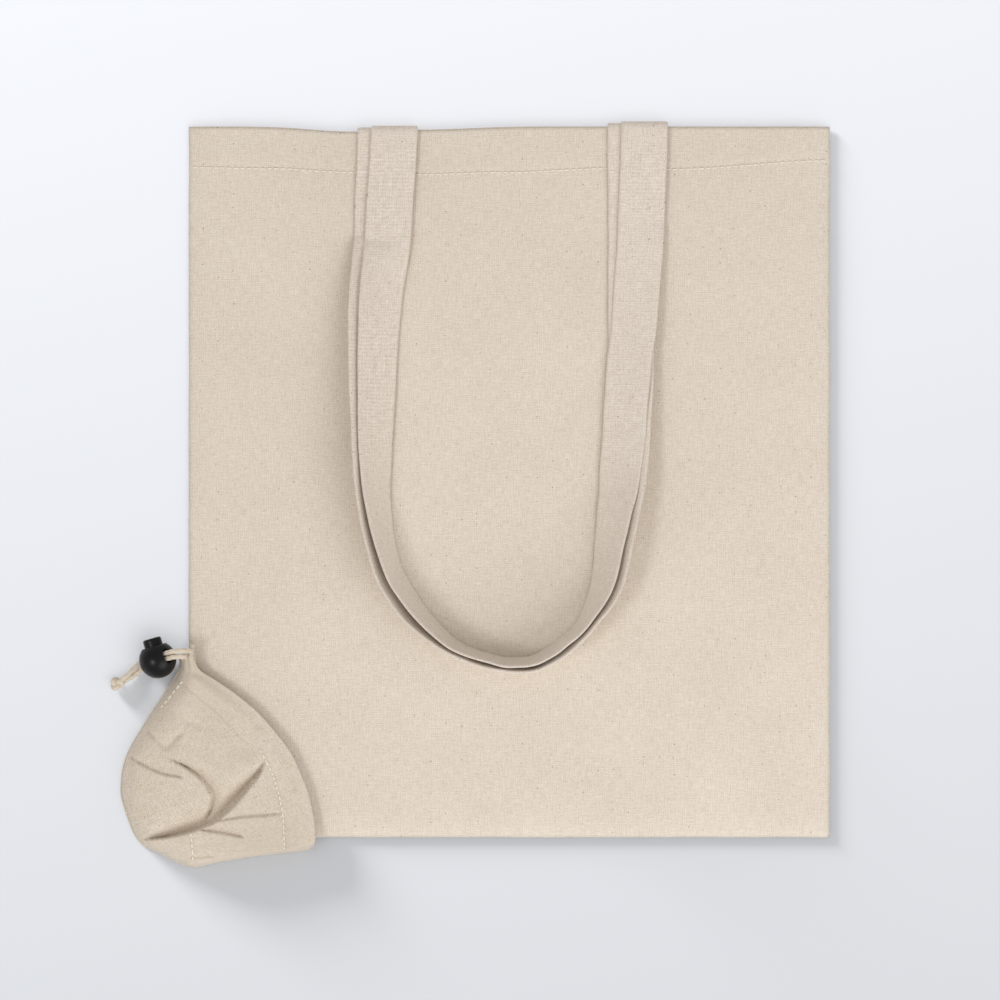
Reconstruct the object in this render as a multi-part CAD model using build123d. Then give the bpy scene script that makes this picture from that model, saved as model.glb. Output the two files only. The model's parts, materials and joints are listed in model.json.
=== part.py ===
from build123d import *
import math
import os

# A foldable cotton tote bag, laid flat with its front up. Its bottom left corner stands in the
# small drawstring pouch that the folded bag is stowed in. X runs across the bag, Y from the
# bottom seam to the mouth, Z up from the surface that the bag lies on. Millimetres.

# ---- bag ----
bag_width = 380.0
bag_height = 422.0
cloth = 0.6  # one ply of a panel
inside_height = 5.2  # clear height between the two panels
seam_width = 4.0  # turned-in edges along the sides and the bottom
hem_depth = 27.0
hem_ply = 0.4
stitch_row = 2.0  # from the foot of the hem to its stitches
stitch_length = 3.6
stitch_pitch = 5.0
stitch_width = 0.6
stitch_height = 0.15

# ---- handles ----
strap_width = 28.0
station_width = 28.0  # the strap width that the stations below are drawn for
strap_thickness = 1.2
strap_gap = 0.5  # between the lower strap and the panel
lap_gap = 0.7  # between the two straps where they lie on each other
tab_length = 25.0  # sewn inside the hem
tab_thickness = 1.2
lip_thickness = 1.1  # the end of a tab that shows past the mouth
lip_gap = 0.2  # between a tab's lip and the fold
lip_drop = 1.8  # from the hem down to the top of the lower tab's lip
fold_reach = 1.6  # how far the fold of the straps stands past the mouth
running_gap = 0.3

# ---- pouch ----
pouch_cloth = 0.5
pouch_wall = 0.7
channel_width = 18.0
channel_depth = 3.6
corner_margin = 2.5  # from the pouch's edge to the step in the bag's back panel
corner_gap = 0.6  # between the raised corner and the front panel
pouch_mouth_height = 4.3  # clear height between the bag's front and the channel
edge_seam_width = 1.8
stow_gap = 1.0  # how far a cutting block runs past what it cuts
above_pouch = 30.0  # a height above everything in the pouch

# ---- drawstring and its lock ----
cord_diameter = 3.0
cord_clearance = 0.2
cord_gap = 0.2  # between the two cords in the lock
ball_radius = 11.0
collar_height = 8.3  # flat top of the ball above its centre, along the button
collar_edge = 0.8
button_radius = 5.5
button_reach = 4.8
button_travel = 3.5
button_edge = 1.2
button_clearance = 0.1
button_foot = 1.0  # below the button's slot
bore_depth = 8.0  # from the ball's centre to the floor of its bore
hole_offset = 0.8  # from the ball's centre to the cord hole, along the button
hole_rise = 50.0  # slope of the cord hole in degrees
hole_flare = 1.6
flare_start = 7.5  # from the hole's middle to where it starts to widen
flare_end = 11.5
button_turn = 106.3  # heading of the button, in degrees from +X
ball_place = (-17.8, 105.6, 12.4)  # from the bag's bottom left corner
spring_radius = 3.4
spring_wire = 0.5
spring_turns = 4
knot_radius = 4.0
knot_length = 7.5
knot_edge = 1.0
knot_clearance = 0.03
anchor_width = 10.0
anchor_length = 13.0
anchor_inset = 2.0  # from the bag's side
anchor_thickness = 0.6

# ---- levels ----
back_top = cloth
front_bottom = back_top + inside_height
front_top = front_bottom + cloth
half_width = bag_width / 2
half_height = bag_height / 2
corner_top = front_bottom - corner_gap
corner_lift = corner_top - cloth
under_strap = front_top + strap_gap
upper_strap = under_strap + strap_thickness + lap_gap
fold_y = half_height + fold_reach
fold_z = under_strap + strap_thickness / 2

# ---- pouch, seen from above and measured from the bag's bottom left corner ----
pouch_centre = (10.0, 31.0)
pouch_half = 50.0  # from that centre to its seam
seam_points = [
    (-1.5, 123), (-6.3, 108), (-11, 90), (-24, 69.5), (-36, 49), (-40, 30),
    (-33, 5), (-16, -10), (1, -17), (30, -12.5), (70.2, -7.4), (86, -5.5),
]
beyond_mouth_points = [(86, -5.5), (92, 16), (82, 49), (57, 83), (27, 110), (-1.5, 123)]
mouth_points = [(70.2, -7.4), (74.6, 6), (70, 29), (54, 59), (30, 84), (7, 99), (-1, 109)]
mouth_surround = [(-110, 161), (130, 161), (130, -89)]
mouth_ends = ((-40, 6), (8, 0))  # how the surround runs on past each end of the mouth
# The pouch front swells up from its seam: share of the outline, height above the ground.
dome_profile = [
    (1.0, 1.1), (0.985, 5.0), (0.95, 9.5), (0.88, 13.0), (0.78, 15.2), (0.6, 17.0), (0.4, 18.0),
]

# ---- straps, seen from above: (edge on the panel, raised edge) from left tab to right tab ----
upper_stations = [
    ((-54, 0), (-82, 0)), ((-57.9, -68), (-86, -68)), ((-64.3, -116), (-89.4, -116)),
    ((-68.7, -186), (-89.1, -186)), ((-70.6, -222), (-85.2, -224)), ((-66, -256), (-75.2, -262)),
    ((-53.8, -281), (-61.5, -286)), ((-34.6, -304), (-38.5, -308.5)), ((-12, -315), (-13, -319)),
    ((10, -316.5), (11, -321)), ((26, -305), (30.5, -309)), ((39.6, -292), (46, -295)),
    ((48, -271), (61, -274)), ((51.5, -238), (70.2, -239)), ((53.4, -206), (78.2, -206)),
    ((56.3, -160), (82.6, -160)), ((60.7, -110), (88.2, -110)), ((64, -60), (92, -60)), ((66, 0), (94, 0)),
]
under_stations = [
    ((-62, 0), (-90, 0)), ((-64.4, -68), (-92.4, -68)), ((-70.5, -116), (-95.5, -116)),
    ((-74.2, -186), (-93.3, -186)), ((-76.2, -224), (-89.5, -226)), ((-71, -260), (-79.8, -266)),
    ((-57.5, -288), (-64.8, -294)), ((-37.3, -309.5), (-41, -315)), ((-12.5, -321), (-14, -326)),
    ((14, -322.5), (15.5, -327.5)), ((30.5, -312), (36, -316)), ((45, -295.5), (52, -299)),
    ((53.5, -272.5), (66, -276)), ((56.5, -240), (74.6, -242)), ((57.5, -206), (81.6, -206)),
    ((58.2, -160), (84.9, -160)), ((58.4, -110), (86.2, -110)), ((58.2, -60), (86.2, -60)), ((58, 0), (86, 0)),
]


def at(x, y, z=0.0):
    """A point measured from the bag's bottom left corner."""
    return Vector(x - half_width, y - half_height, z)


def block(x, y, z):
    """A box from its limits along X, Y and Z."""
    centre = ((x[0] + x[1]) / 2, (y[0] + y[1]) / 2, (z[0] + z[1]) / 2)
    return Pos(*centre) * Box(x[1] - x[0], y[1] - y[0], z[1] - z[0])


def prism(face, low, high):
    """A face of the ground plane raised into a solid between two heights."""
    return Pos(0, 0, low) * extrude(face, high - low, dir=(0, 0, 1))


def largest(shape):
    """The biggest solid of a cut shape, without its offcuts."""
    return max(shape.solids(), key=lambda solid: solid.volume)


# ---- pouch faces ----
def pouch_section(share, height):
    """The pouch outline with its mouth drawn out, at a share of its size."""
    cx, cy = pouch_centre

    def placed(points):
        return [at(cx + share * (x - cx), cy + share * (y - cy), height) for x, y in points]

    return make_face([Spline(placed(seam_points)), Spline(placed(beyond_mouth_points))])


def dome(shrink, drop):
    """The swelling form of the pouch front, made smaller for its inner side."""
    return loft([pouch_section(share - shrink, height - drop) for share, height in dome_profile])


def mouth_side(inset):
    """The ground on the open side of the mouth, with the mouth's edge moved into the pouch."""
    edge = []
    for index, (x, y) in enumerate(mouth_points):
        before = mouth_points[max(index - 1, 0)]
        after = mouth_points[min(index + 1, len(mouth_points) - 1)]
        run = Vector(after[0] - before[0], after[1] - before[1]).normalized()
        edge.append(at(x, y) + Vector(-run.Y, run.X) * inset)
    far = [at(x, y) for x, y in mouth_surround]
    past_last = edge[-1] + Vector(*mouth_ends[0])
    past_first = Vector(edge[0].X + mouth_ends[1][0], far[-1].Y)
    return make_face([Spline(edge), Polyline(edge[-1], past_last, *far, past_first, edge[0])])


def face_of(sketch):
    """The largest face of a cut sketch."""
    return max(sketch.faces(), key=lambda face: face.area)


outside_mouth = mouth_side(0)
pouch_outline = face_of(pouch_section(1.0, 0) - outside_mouth)
corner_inner = face_of(pouch_section(1 + corner_margin / pouch_half, 0) - mouth_side(-corner_margin))
corner_reach = corner_margin + cloth
corner_outer = face_of(pouch_section(1 + corner_reach / pouch_half, 0) - mouth_side(-corner_reach))
bag_block = block((-half_width, half_width), (-half_height, half_height), (0, front_top))


# ---- drawstring routes ----
def along(heading, rise=0.0):
    """A unit vector from a heading and a rise, both in degrees."""
    flat = math.cos(math.radians(rise))
    turn = math.radians(heading)
    return Vector(flat * math.cos(turn), flat * math.sin(turn), math.sin(math.radians(rise)))


ball_centre = at(*ball_place)
cord_spacing = cord_diameter + cord_gap
button_axis = along(button_turn)
hole_axis = along(button_turn - 90, hole_rise)
hole_centre = ball_centre + button_axis * hole_offset
upper_hole = hole_centre + button_axis * (cord_spacing / 2)
lower_hole = hole_centre - button_axis * (cord_spacing / 2)
upper_neck = at(2.2, 107.4, 14.25)
neck_run = Vector(-0.1, 4.0, 2.35)
lower_neck = at(-2.9, 106.05, 10.5)
hole_rise_run = 16.8  # straight run of the cords on each side of the hole's middle
hole_fall_run = 13.6
tail_run = along(210) * 3.2
tail_side = along(120) * 0.8
upper_end = at(-39.5, 92.8, 5.3) + tail_side
lower_end = at(-39.5, 92.8, 2.6) - tail_side
upper_route = [
    upper_neck, upper_neck + neck_run * 0.65, at(1.4, 111.3, 20.6), at(-2.3, 111.2, 25.4),
    upper_hole + hole_axis * hole_rise_run, upper_hole - hole_axis * hole_fall_run,
    at(-32.3, 100.2, 3.2), upper_end - tail_run, upper_end,
]
lower_route = [
    lower_neck, at(-2.6, 107.6, 14.5), at(-0.9, 108.0, 20.2), at(-2.6, 107.7, 25.0),
    lower_hole + hole_axis * hole_rise_run, lower_hole - hole_axis * hole_fall_run,
    at(-30.4, 97.1, 1.7), lower_end - tail_run, lower_end,
]
loop_route = [
    upper_neck, at(2.3, 103.4, 11.9), at(9.5, 89, 12.4), at(33, 69.5, 12.6),
    at(52, 46.5, 12.6), at(62, 23, 12.6), at(65, 5, 12.3), at(65.2, -3.4, 9.6),
    at(65, -3.4, 3.4), at(64.4, 4, 2.4), at(61, 23, 2.4), at(51, 47, 2.4),
    at(32.5, 70, 2.4), at(11.5, 85, 2.4), at(3, 93.5, 2.5), at(-2.9, 99.5, 3.4),
    at(-3.2, 104.5, 6.5), lower_neck,
]


def corner_radii(route):
    """The radius of each corner: 0.45 of its shorter run over the tangent of half its turn."""
    radii = []
    for before, here, after in zip(route, route[1:], route[2:]):
        run_in = here - before
        run_out = after - here
        turn = math.radians(run_in.get_angle(run_out))
        radii.append(0.45 * min(run_in.length, run_out.length) / math.tan(turn / 2))
    return radii


def tube(route, diameter):
    """A round cord along a route of straight runs joined by tangent arcs."""
    path = FilletPolyline(*route, radius=corner_radii(route))
    start = Plane(origin=route[0], z_dir=(route[1] - route[0]).normalized())
    return sweep(start * Circle(diameter / 2), path=path), path.length


# ---- pieces of the bag ----
def make_back_panel():
    plate = block((-half_width, half_width), (-half_height, half_height), (0, back_top))
    cap = prism(corner_outer, 0, corner_top) - prism(corner_inner, -stow_gap, corner_lift)
    return (plate - prism(corner_outer, -stow_gap, corner_top)) + (cap & bag_block)


def make_front_panel():
    return block((-half_width, half_width), (-half_height, half_height), (front_bottom, front_top))


def make_top_hem(low):
    inner_half = half_width - seam_width
    return block((-inner_half, inner_half), (half_height - hem_depth, half_height), (low, low + hem_ply))


def make_side_seam(side):
    x = sorted((side * half_width, side * (half_width - seam_width)))
    strip = block(x, (-half_height, half_height), (back_top, front_bottom))
    return strip - prism(corner_outer, -stow_gap, corner_top)


def make_bottom_seam():
    inner_half = half_width - seam_width
    y = (-half_height, -half_height + seam_width)
    strip = block((-inner_half, inner_half), y, (back_top, front_bottom))
    return strip - prism(corner_outer, -stow_gap, corner_top)


def make_hem_stitching():
    """One row of stitches along the foot of the front hem."""
    count = int((bag_width - 2 * seam_width) // stitch_pitch)
    y = half_height - hem_depth + stitch_row
    stitches = []
    for index in range(count):
        x = (index - (count - 1) / 2) * stitch_pitch
        stitches.append(
            block(
                (x - stitch_length / 2, x + stitch_length / 2), (y - stitch_width / 2, y + stitch_width / 2),
                (front_top, front_top + stitch_height),
            )
        )
    return Compound(children=stitches)


# ---- handles ----
def strap_edges(station):
    """The two edges of a strap at a station, seen from above, for the strap's own width."""
    inner, outer = Vector(*station[0]), Vector(*station[1])
    return inner, inner + (outer - inner) * (strap_width / station_width)


def make_tabs(stations, low, lip_top):
    """The two sewn ends of a handle, inside the hem, each with a lip that stands out of the mouth."""
    end = fold_y - lip_gap
    tabs = []
    for station in (stations[0], stations[-1]):
        inner, outer = strap_edges(station)
        x = sorted((inner.X, outer.X))
        tab = block(x, (half_height - tab_length, end), (low, low + tab_thickness))
        lip = block(x, (end - lip_thickness, end), (low, lip_top))
        tabs.append(tab + lip)
    return Compound(children=tabs)


def strap_section(station, level, ahead):
    """The cross-section of a strap: from its edge on the panel to its raised edge."""
    inner, outer = strap_edges(station)
    rise = math.sqrt(max(strap_width**2 - (outer - inner).length ** 2, 0))
    foot = Vector(inner.X, fold_y + inner.Y, level)
    across = Vector(outer.X - inner.X, outer.Y - inner.Y, rise).normalized()
    normal = across.cross(ahead).normalized()
    if normal.Z < 0:
        normal = -normal
    up = normal * strap_thickness
    head = foot + across * strap_width
    return make_face(Polyline(foot, head, head + up, foot + up, close=True))


def make_strap(stations, level):
    """A handle's free loop, lofted from tab to tab through its stations."""
    middles = [(inner + outer) * 0.5 for inner, outer in map(strap_edges, stations)]
    sections = []
    for index, station in enumerate(stations):
        before = middles[max(index - 1, 0)]
        after = middles[min(index + 1, len(middles) - 1)]
        if index in (0, len(stations) - 1):
            before, after = Vector(0, 0, 0), Vector(0, -1 if index == 0 else 1, 0)
        sections.append(strap_section(station, level, (after - before).normalized()))
    return loft(sections, ruled=True)


# ---- pouch ----
def make_pouch_back():
    return prism(pouch_outline, 0, pouch_cloth)


def make_edge_seam():
    inside = pouch_section(1 - edge_seam_width / pouch_half, 0)
    ring = face_of(pouch_outline - inside - mouth_side(2 * edge_seam_width))
    return prism(ring, pouch_cloth, dome_profile[0][1])


def bag_space(top):
    """The room that the bag's corner takes in the pouch, from the ground up."""
    x = (-half_width - running_gap, 0)
    y = (-half_height - running_gap, 0)
    return block(x, y, (-stow_gap, top))


def make_pouch_front(outer, inner, cords):
    shell = outer - inner
    shell -= prism(outside_mouth, -stow_gap, above_pouch)
    shell -= bag_space(front_top + running_gap)
    for cord in cords:
        shell -= cord
    return largest(shell)


def make_front_channel(inner, low_inner, cords):
    """The folded hem round the front of the mouth, with the cord's bore through it."""
    band = (inner - low_inner) & prism(mouth_side(channel_width), dome_profile[0][1], above_pouch)
    band -= prism(mouth_side(running_gap), -stow_gap, above_pouch + stow_gap)
    band -= bag_space(front_top + pouch_mouth_height)
    for cord in cords:
        band -= cord
    return largest(band)


def make_back_channel(cords):
    """The folded hem round the back of the mouth, under the bag's corner."""
    low, high = pouch_cloth, corner_lift - running_gap
    face = face_of((pouch_outline & mouth_side(channel_width)) - mouth_side(running_gap))
    band = prism(face, low, high) & block((-half_width, 0), (-half_height, 0), (low, high))
    for cord in cords:
        band -= cord
    return largest(band)


def make_anchor():
    """A short tape inside the pouch that ties the bag's corner to the pouch's seam."""
    x = (-half_width + anchor_inset, -half_width + anchor_inset + anchor_width)
    y = (-half_height - anchor_length, -half_height)
    return block(x, y, (front_bottom, front_bottom + anchor_thickness))


# ---- cord lock ----
lock_plane = Plane(origin=ball_centre, x_dir=along(button_turn - 90), z_dir=button_axis)
hole_plane = Plane(origin=hole_centre, x_dir=button_axis, z_dir=hole_axis)
slot_width = cord_diameter + 2 * cord_clearance
slot_length = cord_spacing + slot_width
button_bottom = hole_offset - slot_length / 2 - button_foot
on_end = (Align.CENTER, Align.CENTER, Align.MIN)


def slot_prism(plane, centre, length, width, reach):
    """A slot through the lock along the cord hole."""
    profile = Pos(centre, 0, 0) * SlotOverall(length, width)
    return plane * extrude(profile, reach, both=True)


def make_lock_body():
    ball = Sphere(ball_radius)
    ball -= Pos(0, 0, collar_height + ball_radius) * Box(3 * ball_radius, 3 * ball_radius, 2 * ball_radius)
    ball = fillet(ball.edges().filter_by(GeomType.CIRCLE).group_by(Axis.Z)[-1], collar_edge)
    bore_radius = button_radius + button_clearance
    ball -= Pos(0, 0, -bore_depth) * Cylinder(bore_radius, 4 * ball_radius, align=on_end)
    ball = lock_plane * ball
    ball -= slot_prism(hole_plane, 0, slot_length, slot_width, 2 * ball_radius)
    for side in (-1, 1):
        near = SlotOverall(slot_length, slot_width)
        far = SlotOverall(slot_length + 2 * hole_flare, slot_width + 2 * hole_flare)
        ball -= loft([hole_plane.offset(side * flare_start) * near, hole_plane.offset(side * flare_end) * far])
    return largest(ball)


def make_lock_button():
    length = collar_height + button_reach - button_bottom
    button = Pos(0, 0, button_bottom) * Cylinder(button_radius, length, align=on_end)
    button = fillet(button.edges().filter_by(GeomType.CIRCLE).group_by(Axis.Z)[-1], button_edge)
    button = lock_plane * button
    slot = slot_length + button_travel
    return button - slot_prism(hole_plane, button_travel / 2, slot, slot_width, 2 * ball_radius)


def make_lock_spring():
    """The coil spring between the button's foot and the floor of the bore."""
    room = bore_depth + button_bottom
    height = room - 2 * spring_wire
    coil = Helix(pitch=height / spring_turns, height=height, radius=spring_radius)
    ring = Plane(origin=coil @ 0, z_dir=coil % 0) * Circle(spring_wire / 2)
    spring = sweep(ring, path=coil)
    return lock_plane * (Pos(0, 0, -bore_depth + spring_wire) * spring)


def make_knot():
    """The overhand knot in both cords: a barrel that their ends run into."""
    heading = (upper_route[-1] - upper_route[-2]).normalized()
    middle = (upper_route[-1] + lower_route[-1]) * 0.5
    flat = Vector(heading.X, heading.Y, 0).normalized()
    seat = Vector(middle.X, middle.Y, knot_radius) + flat * knot_clearance
    barrel = Cylinder(knot_radius, knot_length, align=on_end)
    barrel = fillet(barrel.edges().filter_by(GeomType.CIRCLE)[0], knot_edge)
    return Plane(origin=seat, z_dir=flat) * barrel


if __name__ == "__main__":
    os.makedirs("parts", exist_ok=True)

    routes = {"upper": upper_route, "lower": lower_route, "channel loop": loop_route}
    cords = {}
    bores = []
    for name, route in routes.items():
        cords[name], length = tube(route, cord_diameter)
        bores.append(tube(route, cord_diameter + 2 * cord_clearance)[0])
        share = cords[name].volume / (math.pi * cord_diameter**2 / 4 * length)
        radii = [round(radius, 1) for radius in corner_radii(route)]
        print(f"{name} cord: {length:.1f} mm, radii {radii}, volume {share:.4f}")

    pouch_outer = dome(0, 0)
    pouch_inner = dome(pouch_wall / pouch_half, pouch_wall)
    channel_floor = dome((pouch_wall + channel_depth) / pouch_half, pouch_wall + channel_depth)

    nodes = {
        "back_panel": make_back_panel(),
        "front_panel": make_front_panel(),
        "back_top_hem": make_top_hem(back_top),
        "front_top_hem": make_top_hem(front_bottom - hem_ply),
        "left_side_seam": make_side_seam(-1),
        "right_side_seam": make_side_seam(1),
        "bottom_seam": make_bottom_seam(),
        "hem_stitching": make_hem_stitching(),
        "back_handle_tabs": make_tabs(upper_stations, back_top + hem_ply, front_bottom - hem_ply - lip_drop),
        "front_handle_tabs": make_tabs(
            under_stations, front_bottom - hem_ply - tab_thickness, fold_z - strap_thickness / 2 - running_gap
        ),
        "back_handle_loop": make_strap(upper_stations, upper_strap),
        "front_handle_loop": make_strap(under_stations, under_strap),
        "pouch_back": make_pouch_back(),
        "pouch_edge_seam": make_edge_seam(),
        "pouch_front": make_pouch_front(pouch_outer, pouch_inner, bores),
        "pouch_front_channel": make_front_channel(pouch_inner, channel_floor, bores),
        "pouch_back_channel": make_back_channel(bores),
        "pouch_anchor_tape": make_anchor(),
        "drawstring_channel_loop": cords["channel loop"],
        "drawstring_upper_strand": cords["upper"],
        "drawstring_lower_strand": cords["lower"],
        "cord_lock_body": make_lock_body(),
        "cord_lock_button": make_lock_button(),
        "cord_lock_spring": make_lock_spring(),
        "cord_end_knot": make_knot(),
    }
    for name, shape in nodes.items():
        export_step(shape, f"parts/{name}.step")
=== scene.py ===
import json
import math

import bmesh
import bpy
from bpy.props import FloatProperty, PointerProperty, StringProperty
from mathutils import Matrix, Vector, noise


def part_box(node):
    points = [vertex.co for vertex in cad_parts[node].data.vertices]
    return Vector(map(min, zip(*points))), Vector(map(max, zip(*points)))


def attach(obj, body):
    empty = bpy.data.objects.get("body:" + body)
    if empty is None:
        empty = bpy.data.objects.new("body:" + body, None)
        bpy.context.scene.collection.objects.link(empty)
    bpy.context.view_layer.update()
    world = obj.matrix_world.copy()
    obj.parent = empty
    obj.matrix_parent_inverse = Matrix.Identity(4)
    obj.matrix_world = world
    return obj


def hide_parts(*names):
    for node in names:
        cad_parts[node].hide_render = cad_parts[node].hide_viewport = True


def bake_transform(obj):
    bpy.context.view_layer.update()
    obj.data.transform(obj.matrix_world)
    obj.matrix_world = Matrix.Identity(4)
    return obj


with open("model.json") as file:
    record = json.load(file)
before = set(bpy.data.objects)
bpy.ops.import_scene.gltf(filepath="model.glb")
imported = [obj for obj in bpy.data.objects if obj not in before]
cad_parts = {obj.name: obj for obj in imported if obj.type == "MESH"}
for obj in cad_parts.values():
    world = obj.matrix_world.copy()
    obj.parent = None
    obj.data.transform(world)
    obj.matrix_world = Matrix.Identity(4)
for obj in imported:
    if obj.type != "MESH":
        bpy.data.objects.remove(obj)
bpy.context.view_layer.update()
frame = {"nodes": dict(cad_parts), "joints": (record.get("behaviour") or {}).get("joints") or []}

bl_info = {
    "name": "Foldable tote bag",
    "version": (1, 0, 0),
    "blender": (4, 5, 0),
    "location": "3D View > Sidebar > Tote Bag",
    "description": "Builds a flat cotton tote bag with its drawstring pouch around its frame",
    "category": "Object",
}

# Lengths are in millimetres until a mesh is written, which is in metres like the frame.
MM = 0.001


# ---- where the frame says things are ----
def node_box(name):
    """The lowest and highest corner of a part of the frame, in millimetres."""
    low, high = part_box(name)
    return Vector(low) / MM, Vector(high) / MM


PANEL_LOW, PANEL_HIGH = node_box("front_panel")
SIDE = PANEL_HIGH.x
FOOT = PANEL_LOW.y
MOUTH = PANEL_HIGH.y
JOINTS = {joint["name"]: joint for joint in frame["joints"]}
HINGE = JOINTS["back_handle_swing"]["pos_m"]
FOLD_Y = HINGE[1] / MM

# ---- the cloth's levels above the ground ----
PLY = 0.5
POUCH_FRONT_PLY = 0.45
POUCH_BACK_PLY = 0.4
BACK_LEVEL = 0.3
RIM_LEVEL = 2.4
CROWN_LEVEL = 5.6
MOUTH_LEVEL = 5.2
HEM_DEPTH = 27.0
HEM_STITCHES = (
    (-190, 186), (-140, 185.2), (-90, 183), (-55, 181.9), (-2.5, 183), (60, 185.4), (96, 184.8), (190, 190),
)

# ---- straps, seen from above: (edge on the panel, raised edge), Y from the fold ----
STRAP_WIDTH = 28.0
STRAP_THICKNESS = 1.5
UPPER_STATIONS = (
    ((-54, 0), (-82, 0)), ((-57.9, -68), (-86, -68)), ((-64.3, -116), (-89.4, -116)),
    ((-68.7, -186), (-89.1, -186)), ((-70.6, -222), (-85.2, -224)), ((-66, -256), (-75.2, -262)),
    ((-53.8, -281), (-61.5, -286)), ((-34.6, -304), (-38.5, -308.5)), ((-12, -315), (-13, -319)),
    ((3.5, -317.3), (3.5, -321.6)), ((17.5, -314.2), (20, -318.4)), ((30.5, -305.2), (34.6, -308.6)),
    ((41.5, -293), (47.5, -296)), ((48.6, -271), (61.4, -274)), ((51.5, -238), (70.2, -239)),
    ((53.4, -206), (78.2, -206)), ((56.3, -160), (82.6, -160)), ((60.7, -110), (88.2, -110)),
    ((64, -60), (92, -60)), ((66, 0), (94, 0)),
)
UNDER_STATIONS = (
    ((-62, 0), (-90, 0)), ((-64.4, -68), (-92.4, -68)), ((-70.5, -116), (-95.5, -116)),
    ((-74.2, -186), (-93.3, -186)), ((-76.2, -224), (-89.5, -226)), ((-71, -260), (-79.8, -266)),
    ((-57.5, -286.5), (-64.5, -291.8)), ((-37, -306.5), (-40.5, -311)), ((-12.5, -318.2), (-14, -322.2)),
    ((13, -320), (14.5, -324.2)), ((30, -309.8), (35.2, -313.4)), ((44.7, -294), (51.4, -297.5)),
    ((53.5, -272.5), (66, -276)), ((56.5, -240), (74.6, -242)), ((57.5, -206), (81.6, -206)),
    ((58.2, -160), (84.9, -160)), ((58.4, -110), (86.2, -110)), ((58.2, -60), (86.2, -60)),
    ((58, 0), (86, 0)),
)

# ---- pouch, seen from above, both curves from the neck to the bottom of the mouth ----
SEAM_POINTS = (
    (-194.8, -103.2), (-195.4, -111), (-202, -122.5), (-214.5, -141.5), (-226.5, -162.5), (-230, -181),
    (-227.5, -195), (-219.5, -213), (-207, -220), (-189.2, -228), (-172, -225.2), (-150, -221.6),
    (-121.5, -218.6),
)
MOUTH_POINTS = (
    (-187.4, -101.8), (-183.6, -111), (-173.9, -117.6), (-162, -125.8), (-149.5, -136.2), (-138.5, -148.5),
    (-129.7, -160.2), (-123.8, -172.6), (-119, -185.5), (-116, -200), (-115.2, -211), (-116.4, -215.4),
    (-119.8, -218.4),
)
POUCH_DRAWN = (270, 115)  # the size that the pouch's weave is drawn over
CHANNEL_WIDTH = 17.5
CHANNEL_TURN = 0.035  # share of the pouch's cloth that turns round the mouth's edge
CHANNEL_UNDER = 0.16  # share of it that lies under the channel


# ---- small tools ----
def smooth(share):
    """An S-shaped step from 0 to 1."""
    share = min(max(share, 0.0), 1.0)
    return share * share * (3 - 2 * share)


def mix(a, b, share):
    """A value between a and b."""
    return a + (b - a) * share


def wobble(x, y, size, seed=0.0):
    """A soft random height between about -1 and 1 that changes over the given size."""
    return noise.noise(Vector((x / size, y / size, seed)))


def curve_at(points, share):
    """A point on a smooth curve through the points (Catmull-Rom)."""
    last = len(points) - 1
    place = min(max(share, 0.0), 1.0) * last
    index = min(int(place), last - 1)
    t = place - index
    p0, p1, p2, p3 = (Vector(points[min(max(index + k, 0), last)]) for k in (-1, 0, 1, 2))
    square = 2 * p0 - 5 * p1 + 4 * p2 - p3
    cube = 3 * p1 - p0 - 3 * p2 + p3
    return 0.5 * (2 * p1 + (p2 - p0) * t + square * t**2 + cube * t**3)


def bump_at(place, middle, reach):
    """A smooth bump: 1 at its middle, fading to 0 past its reach."""
    return math.exp(-(((place - middle) / reach) ** 2))


def to_linear(hex_colour):
    """An sRGB hex colour as the linear colour that shaders take."""
    channels = [int(hex_colour[i : i + 2], 16) / 255 for i in (1, 3, 5)]
    return tuple(c / 12.92 if c <= 0.04045 else ((c + 0.055) / 1.055) ** 2.4 for c in channels) + (1.0,)


def grid_piece(name, columns, rows, place, flat, closed=False):
    """A cloth mesh from a grid: place(u, v) gives each point in millimetres, flat its cut size."""
    mesh_data = bmesh.new()
    bmesh.ops.create_grid(mesh_data, x_segments=columns, y_segments=rows, size=0.5)
    weave = mesh_data.loops.layers.uv.new("weave")
    shares = {vert: (vert.co.x + 0.5, vert.co.y + 0.5) for vert in mesh_data.verts}
    for face in mesh_data.faces:
        for loop in face.loops:
            u, v = shares[loop.vert]
            loop[weave].uv = (u * flat[0] * MM, v * flat[1] * MM)
    for vert, (u, v) in shares.items():
        vert.co = Vector(place(u, v)) * MM
    if closed:
        bmesh.ops.remove_doubles(mesh_data, verts=mesh_data.verts, dist=0.02 * MM)
        rims = [edge for edge in mesh_data.edges if edge.is_boundary]
        bmesh.ops.holes_fill(mesh_data, edges=rims)
        bmesh.ops.recalc_face_normals(mesh_data, faces=mesh_data.faces)
    return mesh_object(name, mesh_data)


def mesh_object(name, mesh_data, smooth_faces=True):
    """Writes a bmesh to a new object at the origin."""
    mesh = bpy.data.meshes.new(name)
    mesh_data.to_mesh(mesh)
    mesh_data.free()
    mesh.polygons.foreach_set("use_smooth", [smooth_faces] * len(mesh.polygons))
    piece = bpy.data.objects.new(name, mesh)
    bpy.context.collection.objects.link(piece)
    return piece


def face_up(piece):
    """Turns a single sheet's faces so that most of them look up."""
    total = sum(polygon.normal.z * polygon.area for polygon in piece.data.polygons)
    if total < 0:
        piece.data.flip_normals()
    return piece


def give_thickness(piece, thickness):
    """A live wall of even thickness, grown from the sheet's outer face inwards."""
    wall = piece.modifiers.new("ply", "SOLIDIFY")
    wall.thickness = thickness * MM
    wall.offset = -1.0
    wall.use_even_offset = False
    return piece


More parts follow.
